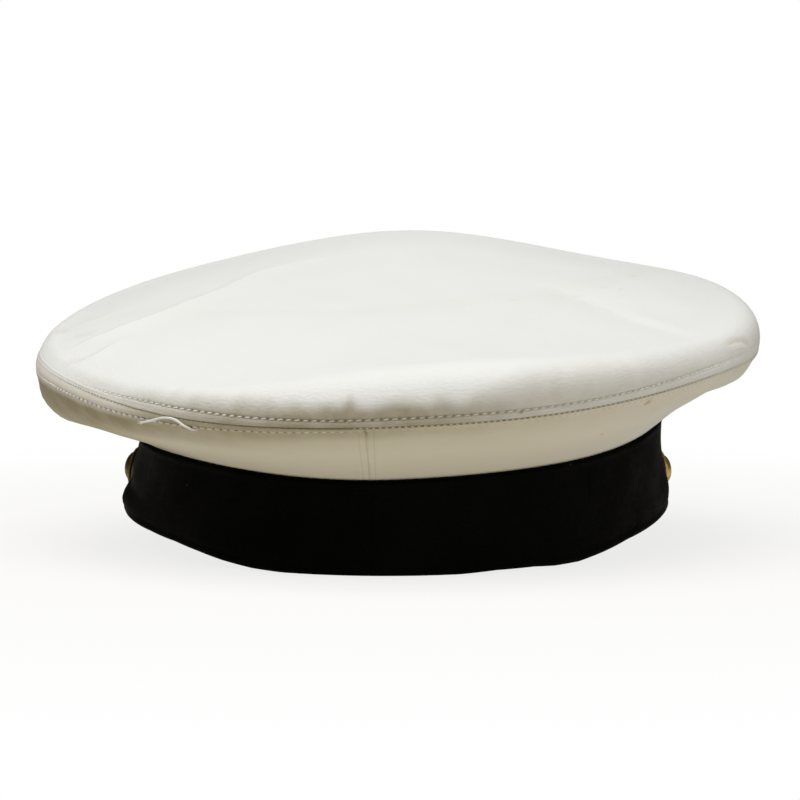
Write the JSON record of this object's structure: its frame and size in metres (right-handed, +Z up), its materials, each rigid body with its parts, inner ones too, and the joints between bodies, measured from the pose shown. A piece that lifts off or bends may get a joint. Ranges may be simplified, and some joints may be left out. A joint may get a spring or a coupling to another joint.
{
  "type": "peaked cap",
  "caption": "White-topped peaked cap with a soft overhanging crown, a black band, a leather peak, a chin strap and gilt side buttons, lying on a table on its band and peak.",
  "frame": {"origin": "middle of the bounding box's base, on the table that the cap lies on", "axes": "+Y towards the wearer's front, where the peak is, +X towards the wearer's right, +Z up"},
  "size_m": [0.2518, 0.289, 0.1078],
  "materials": {
    "white_cotton": "matt woven cotton, off-white, a little stained",
    "black_ribbon": "matt black ribbed weave",
    "black_leather": "polished black leather",
    "gilt": "worn gilt"
  },
  "bodies": {
    "root": {"crown_top": "white_cotton", "crown_side": "white_cotton", "band": "black_ribbon", "peak": "black_leather", "chin_strap": "black_leather", "button_right": "gilt", "button_left": "gilt"}
  },
  "joints": []
}
